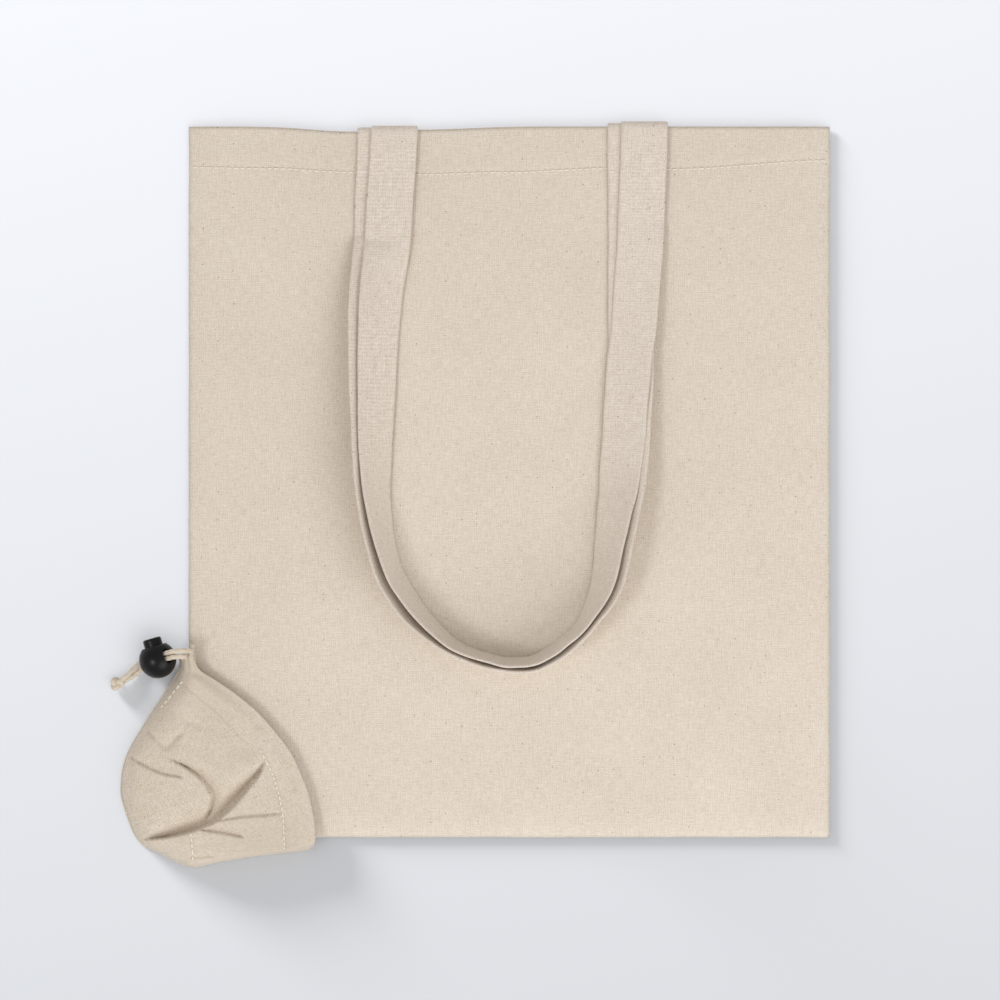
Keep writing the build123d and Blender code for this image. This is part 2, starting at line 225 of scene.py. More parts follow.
def dress(piece, body, slot, *nodes):
    """Puts a piece on its body, in its finish, in place of the parts of the frame it stands for."""
    material = cloth_materials()[slot]
    piece.data.materials.clear()
    piece.data.materials.append(material)
    if body:
        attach(piece, body)
    if nodes:
        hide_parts(*nodes)
    return piece


# ---- materials ----
def add_node(tree, kind, settings=None, inputs=None):
    """Adds a node, sets its properties, and fills or links its inputs by name."""
    node = tree.nodes.new(kind)
    for name, value in (settings or {}).items():
        setattr(node, name, value)
    for name, value in (inputs or {}).items():
        socket = node.inputs[name]
        if isinstance(value, bpy.types.NodeSocket):
            tree.links.new(value, socket)
        else:
            socket.default_value = value
    return node


def new_material(name):
    """An empty material with its Principled shader."""
    material = bpy.data.materials.new(name)
    material.use_nodes = True
    tree = material.node_tree
    return material, tree, tree.nodes["Principled BSDF"]


def woven_cotton(name, pale, deep, thread_mm, relief):
    """Unbleached cotton in plain weave: matt, with uneven yarns and a few dark seed specks.

    The real yarns are 0.4 mm apart; they are drawn 1.1 mm apart so that they show.
    """
    material, tree, shader = new_material(name)
    place = add_node(tree, "ShaderNodeTexCoord").outputs["UV"]

    def stretched(x_mm, y_mm):
        """The cloth's coordinates, with one unit as long as the given sizes."""
        scale = (1 / (x_mm * MM), 1 / (y_mm * MM), 1)
        return add_node(tree, "ShaderNodeMapping", inputs={"Vector": place, "Scale": scale}).outputs["Vector"]

    def yarns(x_mm, y_mm):
        """Uneven threads, or blotches, of the given size."""
        return add_node(
            tree, "ShaderNodeTexNoise", {"noise_dimensions": "2D"},
            {"Vector": stretched(x_mm, y_mm), "Scale": 1.0, "Detail": 2.0, "Roughness": 0.6},
        ).outputs["Fac"]

    def sums(operation, a, b):
        """Two values put together."""
        return add_node(tree, "ShaderNodeMath", {"operation": operation}, {0: a, 1: b}).outputs[0]

    warp = yarns(thread_mm * 0.8, 7.0)
    weft = yarns(6.0, thread_mm * 0.8)
    grain = yarns(0.85, 0.85)
    cloudy = yarns(60.0, 60.0)
    crossing = []
    for direction in ("X", "Y"):
        crossing.append(
            add_node(
                tree, "ShaderNodeTexWave", {"wave_type": "BANDS", "bands_direction": direction},
                {"Vector": stretched(thread_mm, thread_mm), "Scale": math.pi / 10, "Distortion": 0.8,
                 "Detail": 1.0, "Detail Scale": 0.4},
            ).outputs["Fac"]
        )
    weave = sums("MULTIPLY", crossing[0], crossing[1])
    tone = sums("ADD", sums("MULTIPLY", sums("ADD", warp, weft), 0.8), sums("MULTIPLY", grain, 1.3))
    tone = sums("ADD", tone, sums("MULTIPLY", cloudy, 0.3))
    tone = sums("ADD", tone, sums("MULTIPLY", weave, 0.45))
    shade = add_node(tree, "ShaderNodeMapRange", inputs={"Value": tone, "From Min": 1.1, "From Max": 2.3})
    cloth = add_node(
        tree, "ShaderNodeMix", {"data_type": "RGBA"},
        {0: shade.outputs["Result"], 6: to_linear(deep), 7: to_linear(pale)},
    )
    # Specks of cotton seed, about one in each square centimetre and a half, up to 0.9 mm across.
    specks = add_node(
        tree, "ShaderNodeTexVoronoi", {"voronoi_dimensions": "2D"},
        {"Vector": stretched(9.0, 9.0), "Scale": 1.0},
    )
    chance = add_node(tree, "ShaderNodeSeparateColor", inputs={"Color": specks.outputs["Color"]})
    reach = add_node(
        tree, "ShaderNodeMapRange",
        inputs={"Value": chance.outputs["Red"], "From Min": 0.45, "From Max": 1.0,
                "To Min": 0.0, "To Max": 0.05},
    ).outputs["Result"]
    speck = sums("LESS_THAN", specks.outputs["Distance"], reach)
    spotted = add_node(
        tree, "ShaderNodeMix", {"data_type": "RGBA"},
        {0: sums("MULTIPLY", speck, 0.55), 6: cloth.outputs[2], 7: to_linear("#7D6549")},
    )
    height = sums("ADD", weave, sums("MULTIPLY", sums("ADD", warp, weft), 0.9))
    height = sums("ADD", height, sums("MULTIPLY", grain, 0.5))
    bump = add_node(
        tree, "ShaderNodeBump", inputs={"Height": height, "Strength": 0.35 * relief, "Distance": 0.25 * MM}
    )
    tree.links.new(spotted.outputs[2], shader.inputs["Base Color"])
    tree.links.new(bump.outputs["Normal"], shader.inputs["Normal"])
    shader.inputs["Roughness"].default_value = 0.92
    shader.inputs["Specular IOR Level"].default_value = 0.18
    shader.inputs["Sheen Weight"].default_value = 0.12
    shader.inputs["Sheen Roughness"].default_value = 0.5
    return material


def spun_thread(name, pale, deep, twist_mm):
    """Twisted thread or cord: matt, with the slanted lines of its twist."""
    material, tree, shader = new_material(name)
    place = add_node(tree, "ShaderNodeTexCoord").outputs["UV"]
    turned = add_node(
        tree, "ShaderNodeMapping",
        inputs={"Vector": place, "Rotation": (0, 0, math.radians(35)),
                "Scale": (1 / (twist_mm * MM), 1 / (twist_mm * MM), 1)},
    ).outputs["Vector"]
    strands = add_node(
        tree, "ShaderNodeTexWave", {"wave_type": "BANDS", "bands_direction": "X"},
        {"Vector": turned, "Scale": 0.5, "Distortion": 1.5, "Detail": 2.0},
    ).outputs["Fac"]
    fibres = add_node(
        tree, "ShaderNodeTexNoise", inputs={"Vector": turned, "Scale": 2.2, "Detail": 4.0}
    ).outputs["Fac"]
    tone = add_node(tree, "ShaderNodeMath", {"operation": "MULTIPLY"}, {0: strands, 1: fibres}).outputs[0]
    tone = add_node(
        tree, "ShaderNodeMapRange", inputs={"Value": tone, "From Max": 0.45, "To Min": 0.2}
    ).outputs["Result"]
    colour = add_node(
        tree, "ShaderNodeMix", {"data_type": "RGBA"}, {0: tone, 6: to_linear(deep), 7: to_linear(pale)}
    )
    bump = add_node(tree, "ShaderNodeBump", inputs={"Height": tone, "Strength": 0.5, "Distance": 0.2 * MM})
    tree.links.new(colour.outputs[2], shader.inputs["Base Color"])
    tree.links.new(bump.outputs["Normal"], shader.inputs["Normal"])
    shader.inputs["Roughness"].default_value = 0.88
    shader.inputs["Specular IOR Level"].default_value = 0.2
    shader.inputs["Sheen Weight"].default_value = 0.15
    return material


def moulded_acetal(name, colour):
    """Injection-moulded black acetal: satin gloss, with the faint orange peel of the mould."""
    material, tree, shader = new_material(name)
    place = add_node(tree, "ShaderNodeTexCoord").outputs["Object"]
    peel = add_node(
        tree, "ShaderNodeTexNoise", inputs={"Vector": place, "Scale": 900.0, "Detail": 2.0}
    ).outputs["Fac"]
    wear = add_node(
        tree, "ShaderNodeTexNoise", inputs={"Vector": place, "Scale": 260.0, "Detail": 5.0}
    ).outputs["Fac"]
    rough = add_node(
        tree, "ShaderNodeMapRange", inputs={"Value": wear, "To Min": 0.26, "To Max": 0.42}
    ).outputs["Result"]
    tint = add_node(
        tree, "ShaderNodeMix", {"data_type": "RGBA"}, {0: wear, 6: to_linear(colour), 7: to_linear("#101012")}
    )
    bump = add_node(tree, "ShaderNodeBump", inputs={"Height": peel, "Strength": 0.08, "Distance": 0.05 * MM})
    tree.links.new(tint.outputs[2], shader.inputs["Base Color"])
    tree.links.new(rough, shader.inputs["Roughness"])
    tree.links.new(bump.outputs["Normal"], shader.inputs["Normal"])
    shader.inputs["IOR"].default_value = 1.48
    shader.inputs["Specular IOR Level"].default_value = 0.25
    return material


def drawn_steel(name):
    """Drawn spring-steel wire: bright metal with fine lengthwise lines."""
    material, tree, shader = new_material(name)
    place = add_node(tree, "ShaderNodeTexCoord").outputs["Object"]
    lines = add_node(
        tree, "ShaderNodeTexNoise", inputs={"Vector": place, "Scale": 2500.0, "Detail": 3.0}
    ).outputs["Fac"]
    rough = add_node(
        tree, "ShaderNodeMapRange", inputs={"Value": lines, "To Min": 0.2, "To Max": 0.38}
    ).outputs["Result"]
    tree.links.new(rough, shader.inputs["Roughness"])
    shader.inputs["Base Color"].default_value = to_linear("#B9BABC")
    shader.inputs["Metallic"].default_value = 1.0
    return material


def studio_floor(name, high, low):
    """Smooth pale studio paper, with painted shade that makes it a little greyer towards the front, in place
    of the light falling off there.
    """
    material, tree, shader = new_material(name)
    place = add_node(tree, "ShaderNodeTexCoord").outputs["Object"]
    along_y = add_node(tree, "ShaderNodeSeparateXYZ", inputs={"Vector": place}).outputs["Y"]
    # Painted shade: the paper's colour darkens from the back to the front, standing in for the light falling
    # off.
    share = add_node(
        tree, "ShaderNodeMapRange", inputs={"Value": along_y, "From Min": -0.3, "From Max": 0.28}
    ).outputs["Result"]
    tint = add_node(
        tree, "ShaderNodeMix", {"data_type": "RGBA"}, {0: share, 6: to_linear(low), 7: to_linear(high)}
    )
    tree.links.new(tint.outputs[2], shader.inputs["Base Color"])
    shader.inputs["Roughness"].default_value = 0.95
    shader.inputs["Specular IOR Level"].default_value = 0.05
    return material


# ---- the bag's cloth ----
def top_edge(x):
    """How far the mouth's edge sags: it is pulled down a little beside the left handle."""
    return -3.0 * bump_at(x, -93, 34) - 1.4 * bump_at(x, -40, 30)


def rim_share(x, y, reach):
    """0 at the sewn edges of the bag, rising to 1 further in than the reach."""
    inset = min(SIDE - abs(x), y - FOOT)
    return 1 - math.exp(-max(inset, 0.0) / reach)


def front_level(x, y):
    """Height of the front panel's outer face."""
    crown = mix(CROWN_LEVEL, MOUTH_LEVEL, smooth((y - 120) / 90))
    waves = 0.55 * wobble(x, y, 95, 1.0) + 0.22 * wobble(x, y, 38, 2.0) + 0.07 * wobble(x, y, 13, 3.0)
    share = rim_share(x, y, 5.0)
    past = y - hem_line(x)
    groove = -0.1 * bump_at(past, 0, 1.4) + 0.35 * smooth((past - 0.5) / 3)
    return mix(RIM_LEVEL, crown, share) + share * (waves + groove)


def hem_line(x):
    """Where the hem's row of stitches runs: it wanders a few millimetres up and down."""
    for (x0, y0), (x1, y1) in zip(HEM_STITCHES, HEM_STITCHES[1:]):
        if x <= x1:
            return mix(y0, y1, smooth((x - x0) / (x1 - x0)))
    return HEM_STITCHES[-1][1]


def edge_waver(place, seed):
    """A sewn edge is never quite straight."""
    return 0.35 * wobble(place, seed, 42, seed) + 0.12 * wobble(place, seed, 9, seed)


def folded_sheet_place(level, turn, hem_drop):
    """Places a panel's cloth: up the panel, round the mouth's edge and down inside as the hem."""
    panel_run = MOUTH - FOOT
    fold_run = math.pi * turn
    whole = panel_run + fold_run + HEM_DEPTH

    def place(u, v):
        x = mix(-SIDE, SIDE, u)
        run = v * whole
        edge = MOUTH + top_edge(x)
        if run <= panel_run:
            share = run / panel_run
            y = mix(FOOT, edge - turn, share)
            x += edge_waver(y, 4.0) * abs(x / SIDE) ** 12
            y += edge_waver(x, 7.0) * (1 - share) ** 40
            return x, y, level(x, min(y, edge - turn))
        start = level(x, edge - turn)
        if run <= panel_run + fold_run:
            angle = (run - panel_run) / turn
            y = edge - turn + turn * math.sin(angle)
            return x, y, start - hem_drop * turn * (1 - math.cos(angle))
        down = run - panel_run - fold_run
        y = edge - turn - down
        inner = 1 - 0.03 * smooth(down / 6)
        return x * inner, y, level(x, y) - hem_drop * 2 * turn
    return place, (2 * SIDE, whole)


def build_front_panel():
    """The front panel, with its hem turned down inside the mouth."""
    place, flat = folded_sheet_place(front_level, 0.62, 1.0)
    piece = grid_piece("front_panel_cloth", 152, 186, place, flat)
    face_up(piece)
    give_thickness(piece, PLY)
    dress(piece, "bag", "bag_cotton", "front_panel", "front_top_hem")
    return piece


def corner_rise(x, y):
    """The back panel climbs over the pouch's hidden half at the bag's corner: 0 outside, 1 inside."""
    inside = []
    here = Vector((x, y))
    for a, b in zip(MOUTH_POINTS, MOUTH_POINTS[1:]):
        run, gap = Vector(b) - Vector(a), here - Vector(a)
        if -0.6 <= gap.dot(run) / run.length_squared <= 1.6:
            inside.append((gap.x * run.y - gap.y * run.x) / run.length)
    return smooth((max(inside, default=-40.0) + 9) / 9)


def back_level(x, y):
    """Height of the back panel's lower face: flat on the ground, turned up at the seams."""
    rise = corner_rise(x, y) if x < -100 and y < -85 else 0.0
    ripple = 0.05 * abs(wobble(x, y, 30, 5.0))
    rim = mix(RIM_LEVEL - PLY, BACK_LEVEL + ripple, rim_share(x, y, 1.6))
    return max(rim, mix(rim, 3.9, rise) if rise > 0 else rim)


def build_back_panel():
    """The back panel, with its hem turned up inside the mouth."""
    place, flat = folded_sheet_place(back_level, 0.5, -1.0)
    piece = grid_piece("back_panel_cloth", 152, 186, place, flat)
    face_up(piece)
    piece.data.flip_normals()
    give_thickness(piece, PLY)
    dress(piece, "bag", "bag_cotton", "back_panel", "back_top_hem")
    return piece


def build_seams():
    """The turned-in edges: a doubled strip of cloth inside each sewn edge."""
    width, thickness = 7.0, 1.0
    runs = {
        "left_side_seam": ((-SIDE + 0.8, FOOT + 1, 0), (-SIDE + 0.8, MOUTH - 4, 0), (1, 0)),
        "right_side_seam": ((SIDE - 0.8, FOOT + 1, 0), (SIDE - 0.8, MOUTH - 4, 0), (-1, 0)),
        "bottom_seam": ((-SIDE + 8, FOOT + 0.8, 0), (SIDE - 8, FOOT + 0.8, 0), (0, 1)),
    }
    made = []
    for name, (start, end, inward) in runs.items():
        start, end = Vector(start), Vector(end)

        def place(u, v, start=start, end=end, inward=inward):
            angle = u * 2 * math.pi
            across = width / 2 * (1 + math.cos(angle) * 0.96)
            along = mix(start, end, v)
            x, y = along.x + inward[0] * across, along.y + inward[1] * across
            low, high = back_level(x, y) + PLY, front_level(x, y) - PLY
            middle = (low + high) / 2
            half = min(thickness / 2, max((high - low) / 2 - 0.1, 0.05))
            return x, y, middle + half * math.sin(angle) + 0.05 * wobble(along.x, along.y, 12, 6.0)

        length = (end - start).length
        piece = grid_piece(name + "_allowance", 12, 90, place, (2 * width, length), closed=True)
        made.append(dress(piece, "bag", "bag_cotton", name))
    return made


# ---- stitches ----
def stitch_rows(name, rows, thickness):
    """Rows of single stitches: each a thread that comes up, lies on the cloth and goes down."""
    mesh_data = bmesh.new()
    weave = mesh_data.loops.layers.uv.new("weave")
    for points in rows:
        for start, end in points:
            start, end = Vector(start), Vector(end)
            run = end - start
            side = run.cross(Vector((0, 0, 1))).normalized()
            up = side.cross(run).normalized()
            if up.z < 0:
                up = -up
            made = bmesh.ops.create_grid(mesh_data, x_segments=6, y_segments=6, size=0.5)["verts"]
            faces = {face for vert in made for face in vert.link_faces}
            shares = {vert: (vert.co.x + 0.5, vert.co.y + 0.5) for vert in made}
            for face in faces:
                for loop in face.loops:
                    u, v = shares[loop.vert]
                    loop[weave].uv = (u * thickness * 3 * MM, v * run.length * MM)
            for vert, (u, v) in shares.items():
                angle = u * 2 * math.pi
                lift = math.sin(math.pi * v) ** 0.6
                radius = thickness / 2 * (0.75 + 0.25 * lift)
                middle = start + run * v + up * thickness * (lift * 0.3 + 0.08)
                out = side * radius * math.cos(angle) + up * radius * 0.5 * math.sin(angle)
                vert.co = (middle + out) * MM
            bmesh.ops.remove_doubles(mesh_data, verts=made, dist=0.005 * MM)
    bmesh.ops.holes_fill(mesh_data, edges=[edge for edge in mesh_data.edges if edge.is_boundary])
    bmesh.ops.recalc_face_normals(mesh_data, faces=mesh_data.faces)
    return mesh_object(name, mesh_data)


def row_on(curve, count, fill, level):
    """The two ends of each stitch along a curve on the cloth."""
    stitches = []
    for index in range(count):
        ends = []
        for share in ((index + 0.5 - fill / 2) / count, (index + 0.5 + fill / 2) / count):
            x, y = curve(share)
            ends.append((x, y, level(x, y)))
        stitches.append(ends)
    return stitches


def build_hem_stitches():
    """The hem's row of stitches, on the front panel and inside on the back panel."""
    def row(share):
        x = mix(-SIDE + 2, SIDE - 2, share)
        return x, hem_line(x) + 0.25 * wobble(x, 0, 25, 8.0)

    count, fill, thread = 94, 0.78, 1.2
    front = stitch_rows("front_hem_stitches", [row_on(row, count, fill, front_level)], thread)
    dress(front, "bag", "thread", "hem_stitching")
    inside = stitch_rows(
        "back_hem_stitches", [row_on(row, count, fill, lambda x, y: back_level(x, y) + 2 * PLY + 0.6)], thread
    )
    dress(inside, "bag", "thread")
    return front, inside


# ---- handles ----
def strap_profile(share):
    """A point of a strap's flat section: across its width, and above or below its middle."""
    half, radius = STRAP_WIDTH / 2, STRAP_THICKNESS / 2
    straight = 2 * (half - radius)
    arc = math.pi * radius
    run = share * 2 * (straight + arc)
    if run < straight:
        return -half + radius + run, radius
    run -= straight
    if run < arc:
        return half - radius + radius * math.sin(run / radius), radius * math.cos(run / radius)
    run -= arc
    if run < straight:
        return half - radius - run, -radius
    run -= straight
    return -half + radius - radius * math.sin(run / radius), -radius * math.cos(run / radius)


def strap_frame(stations, share, base, crossing):
    """Middle, across and normal of a strap's free loop, as a share of the way from end to end."""
    def edges(at):
        inner = curve_at([a for a, b in stations], at)
        outer = curve_at([b for a, b in stations], at)
        reach = (outer - inner).length
        rise = math.sqrt(max(STRAP_WIDTH**2 - reach**2, 0.0))
        flat = smooth(1 - rise / 14)
        foot = base + crossing * flat
        low = Vector((inner.x, FOLD_Y + inner.y, foot))
        high = Vector((outer.x, FOLD_Y + outer.y, foot + rise))
        return low, high

    low, high = edges(share)
    before, after = edges(share - 0.004), edges(share + 0.004)
    ahead = ((after[0] + after[1]) - (before[0] + before[1])).normalized()
    across = (high - low).normalized()
    return (low + high) / 2, across, across.cross(ahead).normalized()


def strap_place(stations, base, crossing, inside_level, fold_middle, seed):
    """Places a strap from its sewn tab, round the fold, down the loop and back to the other tab."""
    loop_run, tab_run = 700.0, 22.0
    left_drop = 2.6  # the mouth's edge sags beside the left tabs, so the straps fold lower there
    outer_level = base + crossing + STRAP_THICKNESS / 2
    radius = (outer_level - inside_level) / 2
    fold_run = math.pi * radius
    whole = loop_run + 2 * (tab_run + fold_run)

    def place(u, v):
        run = v * whole
        end = -1 if run < whole / 2 else 1
        near = min(run, whole - run)
        wide, thick = strap_profile(u)
        fold = fold_middle + left_drop * min(end, 0)
        middle, across, normal = strap_frame(stations, 0.0 if end < 0 else 1.0, base, crossing)
        if normal.z < 0:
            normal = -normal
        if near < tab_run:
            centre = Vector((middle.x, fold - (tab_run - near), inside_level))
            return centre + across * wide - Vector((0, 0, thick))
        if near < tab_run + fold_run:
            angle = (near - tab_run) / radius
            out = Vector((0, math.sin(angle), -math.cos(angle)))
            centre = Vector((middle.x, fold, inside_level + radius)) + out * radius
            return centre + across * wide + out * thick
        share = (run - tab_run - fold_run) / loop_run
        middle, across, normal = strap_frame(stations, share, base, crossing)
        if normal.z < 0:
            normal = -normal
        settle = smooth(min(share, 1 - share) / 0.03)
        drop = (fold - FOLD_Y) * (1 - smooth((near - tab_run - fold_run) / 45))
        bow = 0.5 * settle * wobble(share * 700, wide * 0.6, 26, seed)
        edge = 0.75 * settle * wobble(share * 700, 50.0, 17, seed + 1)
        centre = middle + Vector((0, drop, STRAP_THICKNESS / 2))
        return centre + across * (wide + edge) + normal * (thick + bow)
    return place, (2 * STRAP_WIDTH, whole)


def build_handle(body, place, flat):
    """One handle: a strap from one sewn tab round its loop to the other."""
    piece = grid_piece(body + "_strap", 40, 420, place, flat, closed=True)
    dress(piece, None, "strap_cotton", body + "_loop", body + "_tabs")
    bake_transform(piece)
    return piece


# ---- pouch ----
def crease_line(points):
    """A crease's curve as 25 points."""
    return [curve_at(points, index / 24) for index in range(25)]


# Each crease: its line, depth, reach of its soft side, reach of its steep side, which side is soft.
CREASES = [
    (crease_line(points), depth, soft, steep, side)
    for points, depth, soft, steep, side in (
        (((-144, -164), (-147.6, -172.8), (-154.2, -181), (-162.4, -190.2), (-171.1, -198.4),
          (-177.2, -202.2), (-185.9, -205.8), (-200.7, -209.9), (-211.1, -211.5), (-224, -214)),
         11.5, 7.2, 0.5, -1),
        (((-203, -162.4), (-191.1, -168.9), (-182.4, -174.9), (-177.2, -181), (-175, -186.2),
          (-175.5, -190.6), (-177.6, -195.8), (-180, -201)), 5.6, 4.6, 0.6, 1),
        (((-229, -161.2), (-215.4, -168), (-203.3, -172.8), (-191, -175)), 3.0, 2.2, 0.5, 1),
        (((-133, -196.2), (-145.9, -197.2), (-157.2, -198), (-175, -201.2)), 2.6, 2.4, 0.5, -1),
        (((-183, -206), (-170.3, -207.1), (-156, -210.6)), 3.2, 3.0, 0.5, 1),
        (((-190, -223), (-174, -221.4)), 1.6, 1.6, 0.4, 1),
        (((-216, -146), (-208, -152.5), (-202.4, -156.7), (-197.5, -152), (-192, -148)), 2.2, 3.2, 2.2, 1),
        (((-147, -138), (-154, -152), (-152, -166)), 1.2, 6.0, 5.0, 1),
        (((-205, -128), (-196, -138), (-180, -146)), 0.9, 5.0, 4.0, 1),
    )
]


def crease_depth(x, y):
    """How far the creases pull the pouch's front down at a point."""
    total = 0.0
    here = Vector((x, y))
    for line, depth, soft, steep, side in CREASES:
        best, found, ends = 1e9, 0.0, 0.0
        for index in range(len(line) - 1):
            a, run = line[index], line[index + 1] - line[index]
            share = min(max((here - a).dot(run) / run.length_squared, 0.0), 1.0)
            gap = here - (a + run * share)
            if gap.length < best:
                best = gap.length
                found = 1 if run.x * gap.y - run.y * gap.x > 0 else -1
                ends = (index + share) / (len(line) - 1)
        if best > 30:
            continue
        near_end = min(ends, 1 - ends)
        taper = smooth(near_end / 0.15)
        reach = (soft if found == side else steep) * (0.2 + 0.8 * smooth(near_end / 0.42))
        total += depth * taper * math.exp(-((best / reach) ** 1.4))
    return total


def pouch_plan(u, v):
    """A point of the pouch's outline patch, from its seam (v = 0) to its mouth (v = 1)."""
    return curve_at(SEAM_POINTS, u).lerp(curve_at(MOUTH_POINTS, u), v)


def pouch_width(u):
    """How far the pouch reaches from its seam to its mouth, at least half a millimetre."""
    return max((curve_at(SEAM_POINTS, u) - curve_at(MOUTH_POINTS, u)).length, 0.5)


def seam_rise(u, height, reach):
    """How much higher the pouch lies near its neck."""
    return height * math.exp(-u / reach)


def mouth_height(u):
    """Height of the mouth's edge along the mouth: highest at the neck, down at the bottom corner."""
    return mix(17.4, 14.1, smooth(u / 0.12)) - 8.4 * smooth((u - 0.86) / 0.14)


def pouch_level(u, v, x, y):
    """Height of the pouch's front face."""
    seam = 0.9 + seam_rise(u, 11.5, 0.075)
    swell = 18.6 - 2.6 * smooth((u - 0.6) / 0.4) - 1.5 * smooth((0.25 - u) / 0.25)
    edge = mouth_height(u)
    width = (curve_at(SEAM_POINTS, u) - curve_at(MOUTH_POINTS, u)).length
    run = v * width
    broad = smooth(width / 45)
    up = 1 - math.exp(-((run / mix(2.2, 6.5, broad)) ** 0.9))
    body = mix(seam, mix(edge, swell, broad), up)
    down = smooth((v - 0.35) / 0.65)
    level = mix(body, edge, down)
    waves = 0.8 * wobble(x, y, 30, 11.0) + 0.45 * wobble(x, y, 12, 12.0) + 0.15 * wobble(x, y, 5, 13.0)
    gather = 0.5 * math.exp(-u / 0.12) * math.sin(v * 18 + u * 30) * up
    crease = crease_depth(x, y) * up * (1 - smooth((v - 0.93) / 0.07))
    lowest = seam * 0.8 if v < 0.1 else 6.3
    return max(level + waves * up * (1 - 0.6 * down) + gather - crease, lowest)


def pouch_top(u, v, x, y, from_edge):
    """Height of the pouch's front face with its channel, a run in from the mouth's edge."""
    return pouch_level(u, v, x, y) + channel_bulge(from_edge) * smooth(pouch_width(u) / 25)


def channel_bulge(from_edge):
    """How far the cord, about half way across its channel, lifts the cloth over it."""
    return 1.3 * bump_at(from_edge, 8.5, 4.2) - 0.5 * bump_at(from_edge, CHANNEL_WIDTH, 1.1)


def build_pouch_front():
    """The pouch's front cloth, folded under at its mouth to make the cord's channel."""
    top_share = 1 - CHANNEL_TURN - CHANNEL_UNDER

    def place(u, v):
        width = pouch_width(u)
        band = min(CHANNEL_WIDTH, 0.8 * width)
        if v <= top_share:
            share = v / top_share
            x, y = pouch_plan(u, share)
            return x, y, pouch_top(u, share, x, y, (1 - share) * width)
        x, y = pouch_plan(u, 1.0)
        top = pouch_top(u, 1.0, x, y, 0.0)
        inward = (pouch_plan(u, 0.0) - Vector((x, y))).normalized()
        if v <= top_share + CHANNEL_TURN:
            angle = (v - top_share) / CHANNEL_TURN * math.pi
            out = 0.5 * math.sin(angle)
            return x - inward.x * out, y - inward.y * out, top - 0.5 * (1 - math.cos(angle))
        back = (v - top_share - CHANNEL_TURN) / CHANNEL_UNDER * band
        deep = 1.0 + 3.4 * bump_at(back, 8.5, 4.4) * smooth(width / 25)
        x2, y2 = pouch_plan(u, 1 - back / width)
        above = pouch_top(u, 1 - back / width, x2, y2, back)
        return x2, y2, max(above - deep, 1.2)

    piece = grid_piece("pouch_front_cloth", 190, 150, place, POUCH_DRAWN)
    face_up(piece)
    give_thickness(piece, POUCH_FRONT_PLY)
    dress(piece, "bag", "pouch_cotton", "pouch_front", "pouch_front_channel")
    return piece


def build_pouch_back():
    """The pouch's back cloth, flat on the ground, with its own channel under the bag's corner."""
    top_share = 1 - CHANNEL_TURN - CHANNEL_UNDER

    def place(u, v):
        width = pouch_width(u)
        band = min(CHANNEL_WIDTH, 0.8 * width)
        neck = seam_rise(u, 9.0, 0.06)
        if v <= top_share:
            share = v / top_share
            x, y = pouch_plan(u, share)
            rim = 0.35 * math.exp(-share * width / 2.5)
            return x, y, 0.08 + rim + neck * (1 - 0.4 * share)
        x, y = pouch_plan(u, 1.0)
        inward = (pouch_plan(u, 0.0) - Vector((x, y))).normalized()
        base = 0.08 + 0.6 * neck
        if v <= top_share + CHANNEL_TURN:
            angle = (v - top_share) / CHANNEL_TURN * math.pi
            out = 0.4 * math.sin(angle)
            return x - inward.x * out, y - inward.y * out, base + 0.4 * (1 - math.cos(angle))
        back = (v - top_share - CHANNEL_TURN) / CHANNEL_UNDER * band
        x2, y2 = pouch_plan(u, 1 - back / width)
        return x2, y2, base + 0.8 + 2.2 * bump_at(back, 8, 4.5) * smooth(width / 25)

    piece = grid_piece("pouch_back_cloth", 150, 110, place, POUCH_DRAWN)
    face_up(piece)
    piece.data.flip_normals()
    give_thickness(piece, POUCH_BACK_PLY)
    dress(piece, "bag", "pouch_cotton", "pouch_back", "pouch_back_channel")
    return piece


def tube_piece(name, line, radius, sides, flat, groove=0.0):
    """A tube along a line of points, in millimetres, round or grooved like twisted cord."""
    count = len(line) - 1
    ups = []
    up = Vector((0, 0, 1))
    for index in range(count + 1):
        ahead = (line[min(index + 1, count)] - line[max(index - 1, 0)]).normalized()
        up = (up - ahead * up.dot(ahead)).normalized()
        ups.append((up.copy(), ahead.cross(up)))
    runs = [0.0]
    for a, b in zip(line, line[1:]):
        runs.append(runs[-1] + (b - a).length)

    def place(u, v):
        index = min(round(v * count), count)
        angle = u * 2 * math.pi
        size = radius * (1 + groove * math.cos(CORD_STRANDS * angle - CORD_TWIST * runs[index]))
        up, side = ups[index]
        return line[index] + (up * math.cos(angle) + side * math.sin(angle)) * size

    return grid_piece(name, sides, count, place, flat, closed=True)


def build_pouch_seam():
    """The rolled seam that joins the pouch's front and back round its outer edge."""
    line = []
    for index in range(141):
        u = 0.02 + 0.97 * index / 140
        x, y = curve_at(SEAM_POINTS, u)
        line.append(Vector((x, y, 0.75 + seam_rise(u, 11.0, 0.075) + 0.08 * wobble(x, y, 6, 21.0))))
    piece = tube_piece("pouch_rolled_seam", line, 0.62, 10, (4, 270))
    return dress(piece, "bag", "pouch_cotton", "pouch_edge_seam")


def pouch_share_at(x, y):
    """The patch coordinates (u, v) nearest to a point seen from above."""
    best = (1e9, 0.0, 0.0)
    for step in range(161):
        u = step / 160
        seam, mouth = curve_at(SEAM_POINTS, u), curve_at(MOUTH_POINTS, u)
        run = mouth - seam
        v = min(max((Vector((x, y)) - seam).dot(run) / max(run.length_squared, 1e-6), 0.0), 1.0)
        gap = (seam + run * v - Vector((x, y))).length
        if gap < best[0]:
            best = (gap, u, v)
    return best[1], best[2]


def pouch_surface(x, y):
    """Height of the finished pouch front at a point seen from above."""
    u, v = pouch_share_at(x, y)
    return pouch_top(u, v, x, y, (1 - v) * pouch_width(u))


